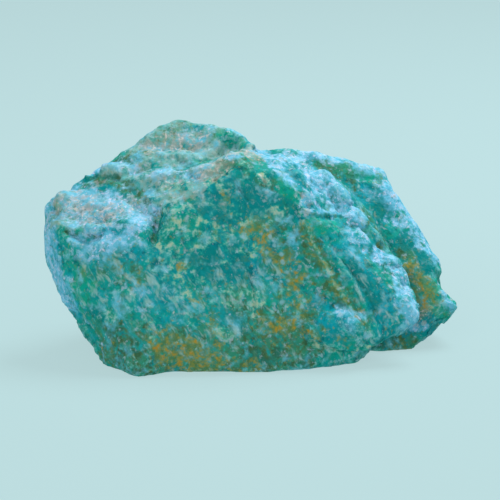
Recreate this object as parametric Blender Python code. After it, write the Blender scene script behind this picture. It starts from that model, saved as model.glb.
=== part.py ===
"""Raw amazonite: one broken, unpolished piece of green-blue feldspar lying on its flat underside.

The stone is one solid. Its big masses are convex blocks, each the hull of a few corners. They are
fused into one skin, then worked the way stone breaks: scars scooped out, lumps and ledges raised,
cracks cut, and the broken faces split into the small flats that feldspar leaves along its cleavage.
X runs along the stone, -Y is its front, Z is up. Sizes are millimetres until the very end.
"""
from dataclasses import dataclass

import bmesh
import bpy
import numpy as np
from mathutils import Vector, noise

MM = 0.001

# The finished stone, end to end, front to back and resting face to top.
LENGTH = 73.0
DEPTH = 43.0
HEIGHT = 38.5

# The size of the faces the stone is worked in, and the number of triangles it is thinned to afterwards.
GRAIN = 0.75
TRIANGLES = 9700

# The blocks reach down to UNDER, so that the cut at REST_CUT leaves one whole resting face.
UNDER = -1.5
REST_CUT = 0.35
MERGE = 0.05

# How far each pass of wear draws a point towards its neighbours, and how many passes come before and
# after the strokes.
WEAR = 0.5
WEAR_BEFORE = 2
WEAR_AFTER = 1

BODY_COLOUR = (0.060, 0.330, 0.310, 1.0)
BODY_ROUGHNESS = 0.55

# The masses of the stone. Each is the hull of a few corners (x, y, z).
BLOCKS = {
    "front": [
        (-1.2, -2.8, 34.9), (3.8, -3.0, 33.2), (8.6, -4.3, 28.3), (11.0, -6.4, 22.8), (17.0, -7.7, 17.9),
        (20.8, -9.9, 11.5), (23.4, -11.5, 4.5), (17.7, -3.5, 20.4), (22.6, -4.0, 16.9), (26.5, -6.0, 12.4),
        (28.9, -9.6, 8.2), (16.7, -13.4, 4.0), (13.4, -12.2, 1.2), (19.3, -7.6, 2.0),
        (8.5, -13.8, UNDER), (3.0, -15.6, UNDER), (3.0, -16.0, 2.5), (-9.0, -15.2, UNDER), (-9.0, -16.8, 4.5),
        (-16.0, -16.5, 8.0), (-15.5, -15.2, UNDER), (-16.8, -10.0, 22.4), (-13.0, -7.2, 28.1),
        (2.0, 8.0, 33.6), (8.9, 10.0, 33.2), (18.0, 6.5, 27.8), (22.0, 4.3, 23.0), (26.0, 1.2, 16.5),
        (27.8, -1.8, 13.5), (29.6, -7.0, 9.5), (13.0, -8.0, UNDER), (18.0, 2.0, 4.0), (0.0, 12.0, UNDER),
        (0.0, 14.0, 28.0), (-14.0, 6.0, UNDER), (-12.0, 8.0, 28.0),
    ],
    "back": [
        (1.6, 8.0, 34.8), (8.9, 10.0, 34.9), (16.1, 12.0, 32.5), (24.2, 13.0, 29.9), (14.2, 11.3, 30.9),
        (22.6, 9.6, 28.0), (23.4, 8.1, 24.8), (26.6, 5.6, 19.2), (30.4, 3.2, 14.4), (26.6, 11.2, 22.7),
        (31.0, 9.2, 16.6), (34.8, 6.6, 12.7), (37.4, 0.6, 6.9), (32.2, -1.0, 4.2), (28.5, -1.8, -0.4),
        (26.4, -2.2, UNDER), (20.0, -3.5, UNDER), (22.0, 21.5, 18.0), (24.0, 17.0, 3.0), (34.5, 10.0, 5.0),
        (6.0, 23.5, 24.0), (30.0, 16.5, 13.0), (25.0, 11.0, UNDER), (4.0, 18.0, UNDER), (9.0, 22.5, 8.0),
    ],
    "shoulder": [
        (-31.9, 4.5, 28.7), (-29.0, 6.0, 30.6), (-28.6, 2.6, 28.9), (-23.7, 2.0, 29.4),
        (-19.3, -1.0, 28.7), (-15.8, -5.0, 27.0),
        (-13.0, -7.0, 28.1), (-20.9, 10.0, 34.9), (-9.0, 8.0, 34.0), (-4.0, 2.0, 33.6), (-1.0, -2.6, 34.6),
        (0.5, 6.0, 35.0), (-26.0, 6.0, 4.0), (-20.0, -5.0, 4.0), (0.0, -5.0, 4.0), (0.0, 16.0, 4.0),
        (-22.0, 17.0, 6.0), (-26.0, 12.0, 24.0), (-18.0, 19.0, 24.0), (0.0, 20.0, 26.0),
    ],
    "hump": [
        (-20.9, 10.0, 35.0), (-16.4, 12.0, 38.0), (-12.6, 13.0, 39.3), (-7.0, 12.5, 38.5), (-2.6, 10.0, 37.4),
        (0.9, 6.5, 36.1), (-9.0, 7.5, 34.0), (-24.6, 8.0, 33.0), (-21.0, 19.0, 27.0), (-4.0, 21.5, 29.0),
        (3.0, 12.0, 28.0), (-14.0, 21.0, 22.0),
    ],
    "left": [
        (-32.9, 3.0, 28.6), (-36.2, 3.0, 25.2), (-36.4, 1.0, 21.8), (-36.1, 1.0, 17.9), (-34.8, -1.0, 13.7),
        (-33.3, -3.0, 9.8), (-31.3, -4.5, 7.2), (-28.2, -8.0, 4.5), (-25.8, -11.0, 1.2), (-23.2, -12.6, -1.0),
        (-21.6, -15.8, -1.0), (-19.3, -18.3, -1.0), (-19.2, -18.9, 1.6), (-15.5, -15.6, UNDER),
        (-22.0, -17.0, 4.0), (-26.8, -12.0, 5.7), (-29.9, -9.5, 10.5), (-32.3, -7.5, 16.3),
        (-33.0, -6.0, 22.3), (-28.0, -9.0, 21.3),
        (-22.8, -10.9, 21.6), (-18.0, -10.2, 22.6), (-13.0, -9.8, 21.4), (-13.0, -16.8, 4.5),
        (-17.2, -8.5, 24.5), (-20.2, -3.0, 26.6), (-23.7, 0.0, 27.5),
        (-28.1, 2.0, 28.4), (-28.0, 10.0, 18.0), (-24.0, 4.0, -1.0), (-14.0, -8.0, 2.0), (-14.0, 0.0, 20.0),
    ],
    "core": [
        (-8.0, 18.0, 31.0), (9.0, 19.0, 31.0), (-22.0, 17.0, 22.0), (-8.0, 23.0, 20.0), (10.0, 24.0, 21.0),
        (-24.0, 13.0, 9.0), (-6.0, 22.5, 8.0), (14.0, 22.0, 8.0), (-6.0, 6.0, 32.0), (8.0, 8.0, 32.0),
        (-22.0, -8.0, UNDER), (-23.0, 5.0, UNDER), (-17.0, 13.0, UNDER), (4.0, 17.0, UNDER),
        (22.0, 12.0, UNDER),
        (-9.0, -13.0, UNDER), (10.0, -10.0, UNDER), (20.0, 2.0, 10.0), (-30.0, 5.0, 14.0),
    ],
}


@dataclass(frozen=True)
class Swell:
    """A soft lump, or a hollow where the height is negative, longer one way than the other."""

    at: tuple
    along: tuple
    length: float
    width: float
    height: float


@dataclass(frozen=True)
class Scar:
    """A shell-shaped bite, as a blow leaves it: part of a ball pressed in from the arrow's side."""

    at: tuple
    arrow: tuple
    radius: float
    depth: float


@dataclass(frozen=True)
class Crack:
    """A V-shaped groove along a few points."""

    path: tuple
    width: float
    depth: float


@dataclass(frozen=True)
class Step:
    """A low cliff: the surface drops on the side the arrow points to and climbs back further on."""

    at: tuple
    arrow: tuple
    reach: float
    rise: float
    depth: float


# Directions used by several strokes. FRONT_FACING is the way the large front face looks.
FRONT_FACING = (0.12, -0.91, 0.39)
DOWN_RIDGE = (0.62, -0.22, -0.75)
ACROSS_EDGE = (0.8, 0.5, 0.3)
ALONG = (1.0, 0.0, 0.0)
UPRIGHT = (0.1, 0.4, 0.9)

SWELLS = (
    # Bumps on the pale face, drawn out along the ridge.
    Swell((4.4, 0.9, 33.5), DOWN_RIDGE, 3.2, 1.6, 0.7),
    Swell((8.0, 3.4, 31.8), DOWN_RIDGE, 3.4, 1.5, 1.0),
    Swell((8.7, -0.6, 31.0), DOWN_RIDGE, 3.6, 1.4, 0.8),
    Swell((13.2, 5.0, 30.0), DOWN_RIDGE, 3.2, 2.0, 1.3),
    Swell((15.8, 3.4, 27.3), DOWN_RIDGE, 2.8, 1.8, 1.1),
    Swell((18.8, 1.4, 23.4), DOWN_RIDGE, 3.4, 2.0, 1.0),
    Swell((22.2, 0.4, 20.6), DOWN_RIDGE, 3.0, 1.8, 0.8),
    Swell((12.6, 0.6, 28.0), DOWN_RIDGE, 4.6, 2.0, -1.1),
    Swell((16.0, 0.2, 25.0), DOWN_RIDGE, 3.0, 1.5, -0.7),
    Swell((6.2, 2.8, 33.0), DOWN_RIDGE, 3.0, 1.2, -0.6),
    Swell((19.5, -2.2, 20.6), DOWN_RIDGE, 4.0, 2.2, 0.8),
    # Bites out of the tongue's far edge, the notch above the right tip and the one below it.
    Swell((27.4, -4.3, 12.9), ACROSS_EDGE, 2.6, 1.7, -1.5),
    Swell((24.3, 0.0, 18.4), ACROSS_EDGE, 2.4, 1.5, -0.9),
    Swell((18.7, 2.8, 25.6), ACROSS_EDGE, 2.6, 1.6, -0.9),
    Swell((35.2, 4.6, 11.2), (0.3, 0.9, 0.0), 4.0, 1.9, -1.8),
    Swell((31.8, -0.6, 3.6), (0.3, 0.9, 0.0), 3.6, 1.8, -0.9),
    # The shell-shaped lobe low on the right of the front.
    Swell((17.2, -11.9, 7.4), (0.8, -0.2, -0.5), 6.0, 3.4, 0.9),
    Swell((8.0, -13.2, 7.4), ALONG, 6.5, 3.6, 0.5),
    # Broad waves of the front.
    Swell((2.6, -8.2, 22.0), UPRIGHT, 8.0, 5.0, 0.5),
    Swell((-8.6, -12.5, 15.0), UPRIGHT, 7.0, 4.0, -0.6),
    Swell((-4.3, -15.0, 7.0), ALONG, 7.0, 3.0, 0.5),
    Swell((9.0, -9.5, 15.5), UPRIGHT, 7.0, 4.0, -0.5),
    Swell((-19.5, -17.6, 3.0), ALONG, 4.5, 3.5, 0.3),
    Swell((-22.2, -14.2, 12.8), UPRIGHT, 6.0, 4.0, 0.5),
    # The ledge beside the peak, the shoulder behind the shelf and the knobs of the left end.
    Swell((-3.6, -0.4, 34.4), (0.8, 0.3, 0.4), 4.2, 2.8, 1.3),
    Swell((-7.6, -1.2, 32.8), ALONG, 3.2, 2.2, 0.7),
    Swell((-24.5, 5.6, 31.4), (1.0, -0.4, 0.2), 5.0, 2.0, 0.9),
    Swell((-16.0, 1.0, 31.4), (1.0, -0.3, 0.1), 6.0, 1.8, 0.8),
    Swell((-19.5, 3.6, 32.0), ALONG, 5.0, 1.6, -0.8),
    Swell((-32.6, 1.6, 27.2), (0.2, 1.0, 0.3), 3.2, 2.4, 0.9),
    Swell((-26.8, -6.6, 23.4), ALONG, 2.6, 1.7, 0.8),
    Swell((-21.0, -7.6, 24.0), ALONG, 3.4, 2.6, 0.6),
    Swell((-29.5, -2.0, 25.6), ALONG, 4.0, 2.0, -0.6),
    # The hump at the back of the top.
    Swell((-16.0, 11.0, 36.2), (0.8, 0.2, 0.3), 4.0, 3.0, 0.7),
    Swell((-7.0, 11.0, 37.6), ALONG, 3.6, 2.6, 0.5),
    Swell((-11.4, 7.6, 35.0), ALONG, 6.0, 2.2, -0.9),
    # The mass at the right, behind the tongue.
    Swell((25.4, 7.0, 22.5), (0.5, 0.1, -0.9), 6.0, 2.4, -0.7),
    Swell((29.6, 4.2, 12.5), (0.5, 0.1, -0.9), 4.0, 3.0, 0.7),
    Swell((33.4, 3.4, 7.4), (0.7, 0.0, -0.7), 3.4, 2.6, 0.5),
    Swell((22.0, 9.4, 30.0), (1.0, 0.1, -0.3), 3.6, 1.8, 0.8),
    # The back.
    Swell((10.0, 23.0, 18.0), UPRIGHT, 9.0, 6.0, 1.0),
    Swell((-12.0, 21.5, 20.0), UPRIGHT, 8.0, 5.0, 1.0),
    Swell((-1.5, 22.5, 12.0), (0.4, 0.0, 0.9), 9.0, 3.0, -1.4),
)

SCARS = (
    # The chip under the peak.
    Scar((2.8, -3.9, 31.5), FRONT_FACING, 2.6, 0.6),
    # Small bites along the foot of the front.
    Scar((-12.6, -15.9, 0.6), (0.0, -0.9, -0.4), 4.6, 0.7),
    Scar((-4.0, -15.9, 0.3), (0.0, -0.9, -0.4), 4.0, 0.6),
    Scar((6.0, -15.3, 0.3), (0.1, -0.9, -0.4), 5.0, 0.6),
    Scar((-26.2, -11.2, 2.6), (-0.75, -0.6, -0.3), 4.0, 0.6),
    # Wide shallow scars round the back and the ends.
    Scar((-30.5, 9.5, 18.5), (-0.8, 0.6, 0.1), 22.0, 1.6),
    Scar((19.5, 21.5, 13.0), (0.3, 0.9, 0.2), 30.0, 2.0),
    Scar((3.0, 22.6, 27.0), (0.0, 0.8, 0.6), 20.0, 1.8),
    Scar((-18.0, 18.5, 12.0), (-0.4, 0.9, -0.1), 26.0, 2.4),
    Scar((32.0, 14.0, 9.0), (0.8, 0.6, 0.0), 16.0, 1.4),
)

CRACKS = (
    # The notch between the shelf and the front, running up under the shoulder.
    Crack(((-16.6, -10.0, 22.2), (-16.1, -7.6, 24.4), (-16.3, -5.2, 26.4)), 1.8, 1.7),
    Crack(((-31.7, -5.8, 22.8), (-30.0, -7.0, 22.4), (-28.6, -8.1, 21.9)), 1.0, 0.7),
    Crack(((-27.8, -7.9, 22.2), (-25.8, -8.3, 22.4)), 1.0, 0.7),
    # The valley between the hump and the ledge.
    Crack(((-12.6, 1.8, 33.6), (-8.2, 2.6, 34.3), (-5.4, 4.6, 34.8), (-2.6, 7.0, 35.4)), 2.2, 1.4),
    # The joint under the slab at the far corner.
    Crack(((17.0, 7.4, 30.0), (20.4, 7.8, 29.0), (23.6, 8.6, 27.8)), 1.3, 0.8),
    Crack(((26.0, 0.0, 6.0), (29.4, 1.4, 4.6), (32.4, 2.6, 4.4)), 1.2, 0.7),
    Crack(((10.6, -13.9, 4.8), (15.5, -13.7, 3.4), (21.4, -12.2, 3.8)), 1.2, 0.6),
)

STEPS = (
    Step((0.5, -10.6, 16.5), (1.0, 0.1, 0.05), 5.5, 0.5, 0.55),
    Step((-13.4, -4.4, 29.6), (0.3, -0.8, -0.5), 5.0, 0.7, 0.6),
    Step((14.5, -3.2, 24.6), (-0.5, 0.5, 0.7), 5.0, 0.6, 0.8),
    Step((-20.0, 0.5, 29.2), (0.0, -0.9, -0.4), 6.0, 0.8, 0.7),
    Step((-14.0, 19.5, 24.0), (0.3, 0.4, -0.9), 9.0, 0.9, 1.1),
    Step((14.0, 21.0, 20.0), (0.6, 0.2, -0.8), 9.0, 0.9, 1.0),
    Step((30.5, 12.0, 14.0), (0.3, 0.4, -0.8), 7.0, 0.9, 0.8),
    Step((-31.0, 4.0, 15.0), (-0.2, 0.3, -0.9), 6.0, 0.9, 0.7),
)

# How the whole skin is broken up. FLATS pairs the size of the small flats with how far they lean, and
# WAVES pairs the size of the waves with their height. The STARTs choose which flats and waves fall where.
FLATS = ((7.5, 0.15), (3.4, 0.06))
FLATS_START = Vector((12.4, 9.1, 0.7))
LEAN_SCALE = 3.7
LEAN_SHIFTS = (Vector((0.0, 0.0, 0.0)), Vector((11.3, 4.7, 8.1)), Vector((5.9, 17.3, 2.3)))
WAVES = ((13.0, 0.6), (5.0, 0.35), (2.6, 0.16))
WAVES_START = Vector((7.0, 3.0, 5.0))

# The share of that relief the front keeps. The front begins where the cosine to FRONT_FACING passes
# FRONT_FROM.
FRONT_CALM = 0.3
FRONT_FROM = 0.75


def hull(corners):
    """A convex mesh round a few corners."""
    shape = bmesh.new()
    for corner in corners:
        shape.verts.new(corner)
    made = bmesh.ops.convex_hull(shape, input=shape.verts[:], use_existing_faces=False)
    inside = [part for part in made["geom_interior"] if isinstance(part, bmesh.types.BMVert)]
    bmesh.ops.delete(shape, geom=inside, context="VERTS")
    bmesh.ops.recalc_face_normals(shape, faces=shape.faces[:])
    return shape


def blocks_together():
    """All the blocks in one mesh, still passing through each other."""
    joined = bmesh.new()
    for corners in BLOCKS.values():
        shape = hull(corners)
        block = bpy.data.meshes.new("block")
        shape.to_mesh(block)
        shape.free()
        joined.from_mesh(block)
        bpy.data.meshes.remove(block)
    return joined


def modified(thing, kind, **settings):
    """Put one modifier on an object, keep its result as the object's mesh and drop the modifier."""
    modifier = thing.modifiers.new(kind.lower(), kind)
    for name, value in settings.items():
        setattr(modifier, name, value)
    graph = bpy.context.evaluated_depsgraph_get()
    result = bpy.data.meshes.new_from_object(thing.evaluated_get(graph))
    thing.modifiers.clear()
    thing.data = result


def fused_stone():
    """The blocks fused into one even skin, with the sharpest corners worn a little."""
    joined = blocks_together()
    mesh = bpy.data.meshes.new("amazonite")
    joined.to_mesh(mesh)
    joined.free()
    stone = bpy.data.objects.new("amazonite", mesh)
    bpy.context.scene.collection.objects.link(stone)
    modified(stone, "REMESH", mode="VOXEL", voxel_size=GRAIN)
    modified(stone, "SMOOTH", factor=WEAR, iterations=WEAR_BEFORE)
    return stone


def unit(arrow):
    """The same direction as a numpy vector of length one."""
    vector = np.array(arrow, dtype=float)
    return vector / np.linalg.norm(vector)


def skin(mesh):
    """The points of a mesh and the directions they face, as two arrays."""
    points = np.empty(len(mesh.vertices) * 3)
    facing = np.empty(len(mesh.vertices) * 3)
    mesh.vertices.foreach_get("co", points)
    mesh.vertex_normals.foreach_get("vector", facing)
    return points.reshape(-1, 3), facing.reshape(-1, 3)


def put_back(mesh, points):
    """Give a mesh its worked points."""
    mesh.vertices.foreach_set("co", points.ravel())
    mesh.update()


def dome(distance):
    """One in the middle, falling smoothly to nothing at a distance of one."""
    return np.clip(1.0 - distance**2, 0.0, 1.0) ** 2


def swelled(points, facing, swell):
    """Raise or sink the skin inside one swell."""
    along = unit(swell.along)
    offset = points - np.array(swell.at)
    lengthwise = offset @ along
    across = np.linalg.norm(offset - np.outer(lengthwise, along), axis=1)
    distance = np.hypot(lengthwise / swell.length, across / swell.width)
    return points + facing * (swell.height * dome(distance))[:, None]


def scarred(points, facing, scar):
    """Press part of a ball into the skin."""
    middle = np.array(scar.at) + unit(scar.arrow) * (scar.radius - scar.depth)
    offset = points - middle
    distance = np.linalg.norm(offset, axis=1)
    pushed = middle + offset / distance[:, None] * scar.radius
    return np.where((distance < scar.radius)[:, None], pushed, points)


def cracked(points, facing, crack):
    """Cut one V-shaped groove."""
    distance = np.full(len(points), np.inf)
    for start, end in zip(crack.path, crack.path[1:]):
        start = np.array(start)
        run = np.array(end) - start
        share = np.clip((points - start) @ run / (run @ run), 0.0, 1.0)
        distance = np.minimum(distance, np.linalg.norm(points - start - np.outer(share, run), axis=1))
    groove = np.clip(1.0 - distance / crack.width, 0.0, 1.0)
    return points - facing * (crack.depth * groove)[:, None]


def stepped(points, facing, step):
    """Drop the skin on one side of a low cliff."""
    offset = points - np.array(step.at)
    beyond = np.clip(offset @ unit(step.arrow) / step.rise, 0.0, 1.0)
    fade = dome(np.linalg.norm(offset, axis=1) / step.reach)
    return points - facing * (step.depth * beyond * fade)[:, None]


def slope(middle):
    """The way one small flat leans, the same for every place on it."""
    return Vector([noise.noise(middle * LEAN_SCALE + shift) for shift in LEAN_SHIFTS])


def flat_height(place, size, lean):
    """Height of the small tilted flat a place belongs to."""
    spot = place / size + FLATS_START
    middle = noise.voronoi(spot)[1][0]
    return (spot - middle).dot(slope(middle)) * lean * size


def relief_height(place):
    """Height of all the small flats and waves together at one place."""
    flats = sum(flat_height(place, size, lean) for size, lean in FLATS)
    waves = sum(noise.noise(place / size + WAVES_START) * rise for size, rise in WAVES)
    return flats + waves


def relieved(points, facing):
    """Break the whole skin up, the flat front less than the rest."""
    heights = np.array([relief_height(Vector(place)) for place in points])
    front = np.clip((facing @ unit(FRONT_FACING) - FRONT_FROM) / (1.0 - FRONT_FROM), 0.0, 1.0)
    kept = 1.0 - (1.0 - FRONT_CALM) * front
    return points + facing * (heights * kept)[:, None]


def work(stone):
    """Carry out every stroke on the fused stone, in the order the stone would have met them."""
    for stroke, places in ((scarred, SCARS), (swelled, SWELLS), (stepped, STEPS), (cracked, CRACKS)):
        points, facing = skin(stone.data)
        for place in places:
            points = stroke(points, facing, place)
        put_back(stone.data, points)
    modified(stone, "SMOOTH", factor=WEAR, iterations=WEAR_AFTER)
    points, facing = skin(stone.data)
    put_back(stone.data, relieved(points, facing))


def rest(stone):
    """Cut the underside to one flat resting face and stand the stone on it."""
    shape = bmesh.new()
    shape.from_mesh(stone.data)
    everything = shape.verts[:] + shape.edges[:] + shape.faces[:]
    bmesh.ops.bisect_plane(
        shape, geom=everything, plane_co=(0.0, 0.0, REST_CUT), plane_no=(0.0, 0.0, 1.0), clear_inner=True
    )
    bmesh.ops.holes_fill(shape, edges=[edge for edge in shape.edges if edge.is_boundary])
    bmesh.ops.remove_doubles(shape, verts=shape.verts[:], dist=MERGE)
    for vertex in shape.verts:
        if abs(vertex.co.z - REST_CUT) < MERGE:
            vertex.co.z = REST_CUT
    bmesh.ops.triangulate(shape, faces=[face for face in shape.faces if len(face.verts) > 3])
    bmesh.ops.recalc_face_normals(shape, faces=shape.faces[:])
    shape.to_mesh(stone.data)
    shape.free()


def fit(stone):
    """Scale the stone to its finished size, in metres, with its origin under the middle of its box."""
    points = skin(stone.data)[0]
    low = points.min(axis=0)
    span = points.max(axis=0) - low
    under_middle = low + span * np.array((0.5, 0.5, 0.0))
    size = np.array((LENGTH, DEPTH, HEIGHT))
    put_back(stone.data, (points - under_middle) / span * size * MM)


def thin(stone):
    """Thin the worked skin to the number of triangles it is kept at."""
    quads = len(stone.data.polygons)
    modified(stone, "DECIMATE", ratio=TRIANGLES / (2 * quads), use_collapse_triangulate=True)


def amazonite():
    """Green-blue feldspar with a dull broken surface."""
    material = bpy.data.materials.new("amazonite")
    material.use_nodes = True
    shader = material.node_tree.nodes["Principled BSDF"]
    shader.inputs["Base Color"].default_value = BODY_COLOUR
    shader.inputs["Roughness"].default_value = BODY_ROUGHNESS
    return material


def main():
    """Clear the scene, then make the stone, work it, cut its resting face and bring it to size."""
    for old in list(bpy.data.objects):
        bpy.data.objects.remove(old)
    stone = fused_stone()
    work(stone)
    thin(stone)
    rest(stone)
    fit(stone)
    stone.data.materials.append(amazonite())


main()
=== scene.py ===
"""The looks of a raw amazonite: its broken surface, its feldspar colours, the floor, light and camera.

The solid model gives the stone its masses. A copy of it is refined here and worked again with finer
strokes. Places that the photograph shows are named by where they lie in its 500 by 500 picture, and are
found on the stone by looking through the camera. Everything else is in millimetres.
"""
import logging
import math
from dataclasses import dataclass, field
from enum import Enum

import bmesh
import bpy
import numpy as np
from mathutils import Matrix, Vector, noise
from mathutils.bvhtree import BVHTree


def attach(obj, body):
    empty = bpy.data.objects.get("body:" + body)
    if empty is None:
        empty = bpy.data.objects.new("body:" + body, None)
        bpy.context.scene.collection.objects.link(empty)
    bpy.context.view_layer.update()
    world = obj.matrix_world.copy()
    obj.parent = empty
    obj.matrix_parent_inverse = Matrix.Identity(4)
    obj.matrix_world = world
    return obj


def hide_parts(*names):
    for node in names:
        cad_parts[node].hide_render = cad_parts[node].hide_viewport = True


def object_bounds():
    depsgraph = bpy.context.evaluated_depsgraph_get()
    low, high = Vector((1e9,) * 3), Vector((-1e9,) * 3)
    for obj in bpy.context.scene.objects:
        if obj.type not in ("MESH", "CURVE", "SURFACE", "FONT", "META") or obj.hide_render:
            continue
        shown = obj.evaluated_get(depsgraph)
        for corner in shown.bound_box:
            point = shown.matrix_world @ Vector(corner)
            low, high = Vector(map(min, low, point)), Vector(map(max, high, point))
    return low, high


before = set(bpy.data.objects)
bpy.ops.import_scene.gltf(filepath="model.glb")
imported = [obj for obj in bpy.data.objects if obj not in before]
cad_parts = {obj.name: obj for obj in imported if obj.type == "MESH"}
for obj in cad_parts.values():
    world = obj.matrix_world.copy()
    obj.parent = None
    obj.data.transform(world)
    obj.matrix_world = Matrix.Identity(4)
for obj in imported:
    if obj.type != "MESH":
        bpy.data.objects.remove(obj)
CAD_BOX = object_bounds()

MM = 0.001
STONE = "amazonite"

# Points of the solid nearer to each other than this are one, in millimetres.
WELD = 0.001
# How far before and behind its target a line of sight that misses the stone is searched, and its steps.
SEARCH = 30
SEARCH_STEP = 2
# How far the ragged noise shifts the edge of a groove, a lump and a patch, as shares of the distance to
# its route, and that of a cliff, in millimetres.
GROOVE_FRAY = 0.35
LUMP_FRAY = 0.28
PATCH_FRAY = 0.45
CLIFF_FRAY = 0.3
# The share of its drop that the high side of a cliff stands up by.
CLIFF_LIP = 0.35
# Where a patch has faded to nothing, in radii.
PATCH_END = 1.35

Array = np.ndarray
Spot = tuple[float, float]

log = logging.getLogger("amazonite")


def linear(shade: str) -> tuple[float, float, float, float]:
    """Turn an sRGB hex value into the linear colour a shader takes.

    Args:
        shade: six hex digits with a leading hash.

    Returns:
        Red, green and blue in linear light, and an alpha of one.
    """
    parts = [int(shade[start : start + 2], 16) / 255 for start in (1, 3, 5)]
    red, green, blue = (
        part / 12.92 if part <= 0.04045 else ((part + 0.055) / 1.055) ** 2.4 for part in parts
    )
    return red, green, blue, 1.0


def add(tree: bpy.types.NodeTree, kind: str, wires: dict | None = None, **settings: object) -> bpy.types.Node:
    """Add one shader node, with its settings, values and links.

    Args:
        tree: the node tree that gets the node.
        kind: the node's type name.
        wires: for an input's name or number, the value it holds or the output it is linked from.
        **settings: the node's own properties.

    Returns:
        The new node.
    """
    node = tree.nodes.new(kind)
    for name, value in settings.items():
        setattr(node, name, value)
    for place, value in (wires or {}).items():
        if isinstance(value, bpy.types.NodeSocket):
            tree.links.new(value, node.inputs[place])
        else:
            node.inputs[place].default_value = value
    return node


def dome(distance: Array) -> Array:
    """One in the middle, falling smoothly to nothing at a distance of one."""
    return np.clip(1.0 - distance**2, 0.0, 1.0) ** 2


def eased(share: Array) -> Array:
    """A share held between nothing and one, with a soft start and a soft end."""
    held = np.clip(share, 0.0, 1.0)
    return held * held * (3.0 - 2.0 * held)


def cloud(points: Array, size: float, start: tuple[float, float, float] = (0.0, 0.0, 0.0)) -> Array:
    """Smooth noise, from about minus one to one, at every point.

    Args:
        points: places in millimetres.
        size: width of the noise's lumps, in millimetres.
        start: moves the noise, in lumps, so that two clouds of one size differ.

    Returns:
        One value for each point.
    """
    shifted = points / size + np.array(start)
    return np.array([noise.noise(Vector(place)) for place in shifted])


def flats(points: Array, size: float, lean: float) -> Array:
    """Height of the small tilted flats that feldspar breaks into.

    Args:
        points: places in millimetres.
        size: width of a flat, in millimetres.
        lean: how far a flat tilts, as a share of its width.

    Returns:
        Height at each point, in millimetres.
    """
    heights = np.empty(len(points))
    shifts = (Vector((0.0, 0.0, 0.0)), Vector((11.3, 4.7, 8.1)), Vector((5.9, 17.3, 2.3)))
    spread = 3.7
    for number, place in enumerate(points / size):
        spot = Vector(place)
        middle = noise.voronoi(spot)[1][0]
        tilt = Vector([noise.noise(middle * spread + shift) for shift in shifts])
        heights[number] = (spot - middle).dot(tilt)
    return heights * lean * size


@dataclass(frozen=True)
class Viewpoint:
    """Where the photograph was taken from, and what a spot in its picture looks at.

    The picture is 500 pixels square, and one millimetre at the target's distance covers pixels_per_mm.
    """

    elevation: float = math.radians(14.0)
    distance: float = 450.0
    target: tuple[float, float, float] = (-0.36, -2.8, 17.75)
    picture: int = 500
    pixels_per_mm: float = 5.69
    sensor: float = 36.0

    def back(self) -> Vector:
        """The direction from the target to the camera."""
        return Vector((0.0, -math.cos(self.elevation), math.sin(self.elevation)))

    def eye(self) -> Vector:
        """Where the camera stands, in millimetres."""
        return Vector(self.target) + self.back() * self.distance

    def ray(self, spot: Spot) -> tuple[Vector, Vector]:
        """The line of sight through a spot of the picture.

        Args:
            spot: a place in the picture, in pixels from its upper left corner.

        Returns:
            Where the line starts and its direction.
        """
        right = Vector((1.0, 0.0, 0.0))
        up = self.back().cross(right)
        half = self.picture / 2
        across = (spot[0] - half) / self.pixels_per_mm
        upward = (half - spot[1]) / self.pixels_per_mm
        aim = Vector(self.target) + right * across + up * upward
        return self.eye(), (aim - self.eye()).normalized()

    def lens(self) -> float:
        """Focal length that gives the picture its scale, in millimetres."""
        return self.sensor * self.distance * self.pixels_per_mm / self.picture


class Mask(Enum):
    """What is laid down in one of the stone's attributes, for its finish to read."""

    DEEP = "deep"
    BLUE = "blue"
    GREEN = "green"
    CHALK = "chalk"
    OLIVE_AND_SHADE = "olive_and_shade"
    STREAK = "streak"
    CREAM_AND_HIGHLIGHT = "cream_and_highlight"
    BLOOM_AND_SKYLIGHT = "bloom_and_skylight"
    SAND = "sand"
    OCHRE = "ochre"
    SUGAR = "sugar"
    WORN = "worn"
    HOLLOW_SHADE = "hollow_shade"


@dataclass
class Skin:
    """The stone's surface while it is worked.

    Attributes:
        points: the surface's points, in millimetres.
        facing: the way each point faces.
        solid: the unworked stone, for finding the spots of the picture on it.
        view: the camera those spots are seen from.
        ragged: noise that breaks up the outline of everything laid on the surface.
    """

    points: Array
    facing: Array
    solid: BVHTree
    view: Viewpoint
    ragged: Array = field(default_factory=lambda: np.zeros(0))

    def seen(self, spot: Spot) -> Array:
        """The point of the stone that the picture shows at a spot, or the nearest one just past its outline.

        Args:
            spot: a place in the picture, in pixels.

        Returns:
            The point, in millimetres.
        """
        start, way = self.view.ray(spot)
        hit = self.solid.ray_cast(start, way)[0]
        if hit is None:
            middle = int(self.view.distance)
            depths = range(middle - SEARCH, middle + SEARCH, SEARCH_STEP)
            found = [self.solid.find_nearest(start + way * depth) for depth in depths]
            hit = min(found, key=lambda near: near[3])[0]
        return np.array(hit)

    def away(self, route: tuple[Spot, ...]) -> tuple[Array, Array]:
        """How far every point lies from a route across the stone.

        Args:
            route: one or more spots of the picture, in order.

        Returns:
            The distance, and how far of it is to the route's right as the picture shows it.
        """
        marks = [self.seen(spot) for spot in route]
        ends = marks[1:] or marks
        nearest = np.full(len(self.points), np.inf)
        rightward = np.zeros(len(self.points))
        into = -np.array(self.view.back())
        for start, end in zip(marks, ends):
            run = end - start
            length = max(float(np.linalg.norm(run)), MM)
            share = np.clip((self.points - start) @ run / length**2, 0.0, 1.0)
            offset = self.points - start - np.outer(share, run)
            distance = np.linalg.norm(offset, axis=1)
            nearer = distance < nearest
            right = np.cross(into, run / length)
            nearest = np.where(nearer, distance, nearest)
            rightward = np.where(nearer, offset @ right, rightward)
        return nearest, rightward


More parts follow.
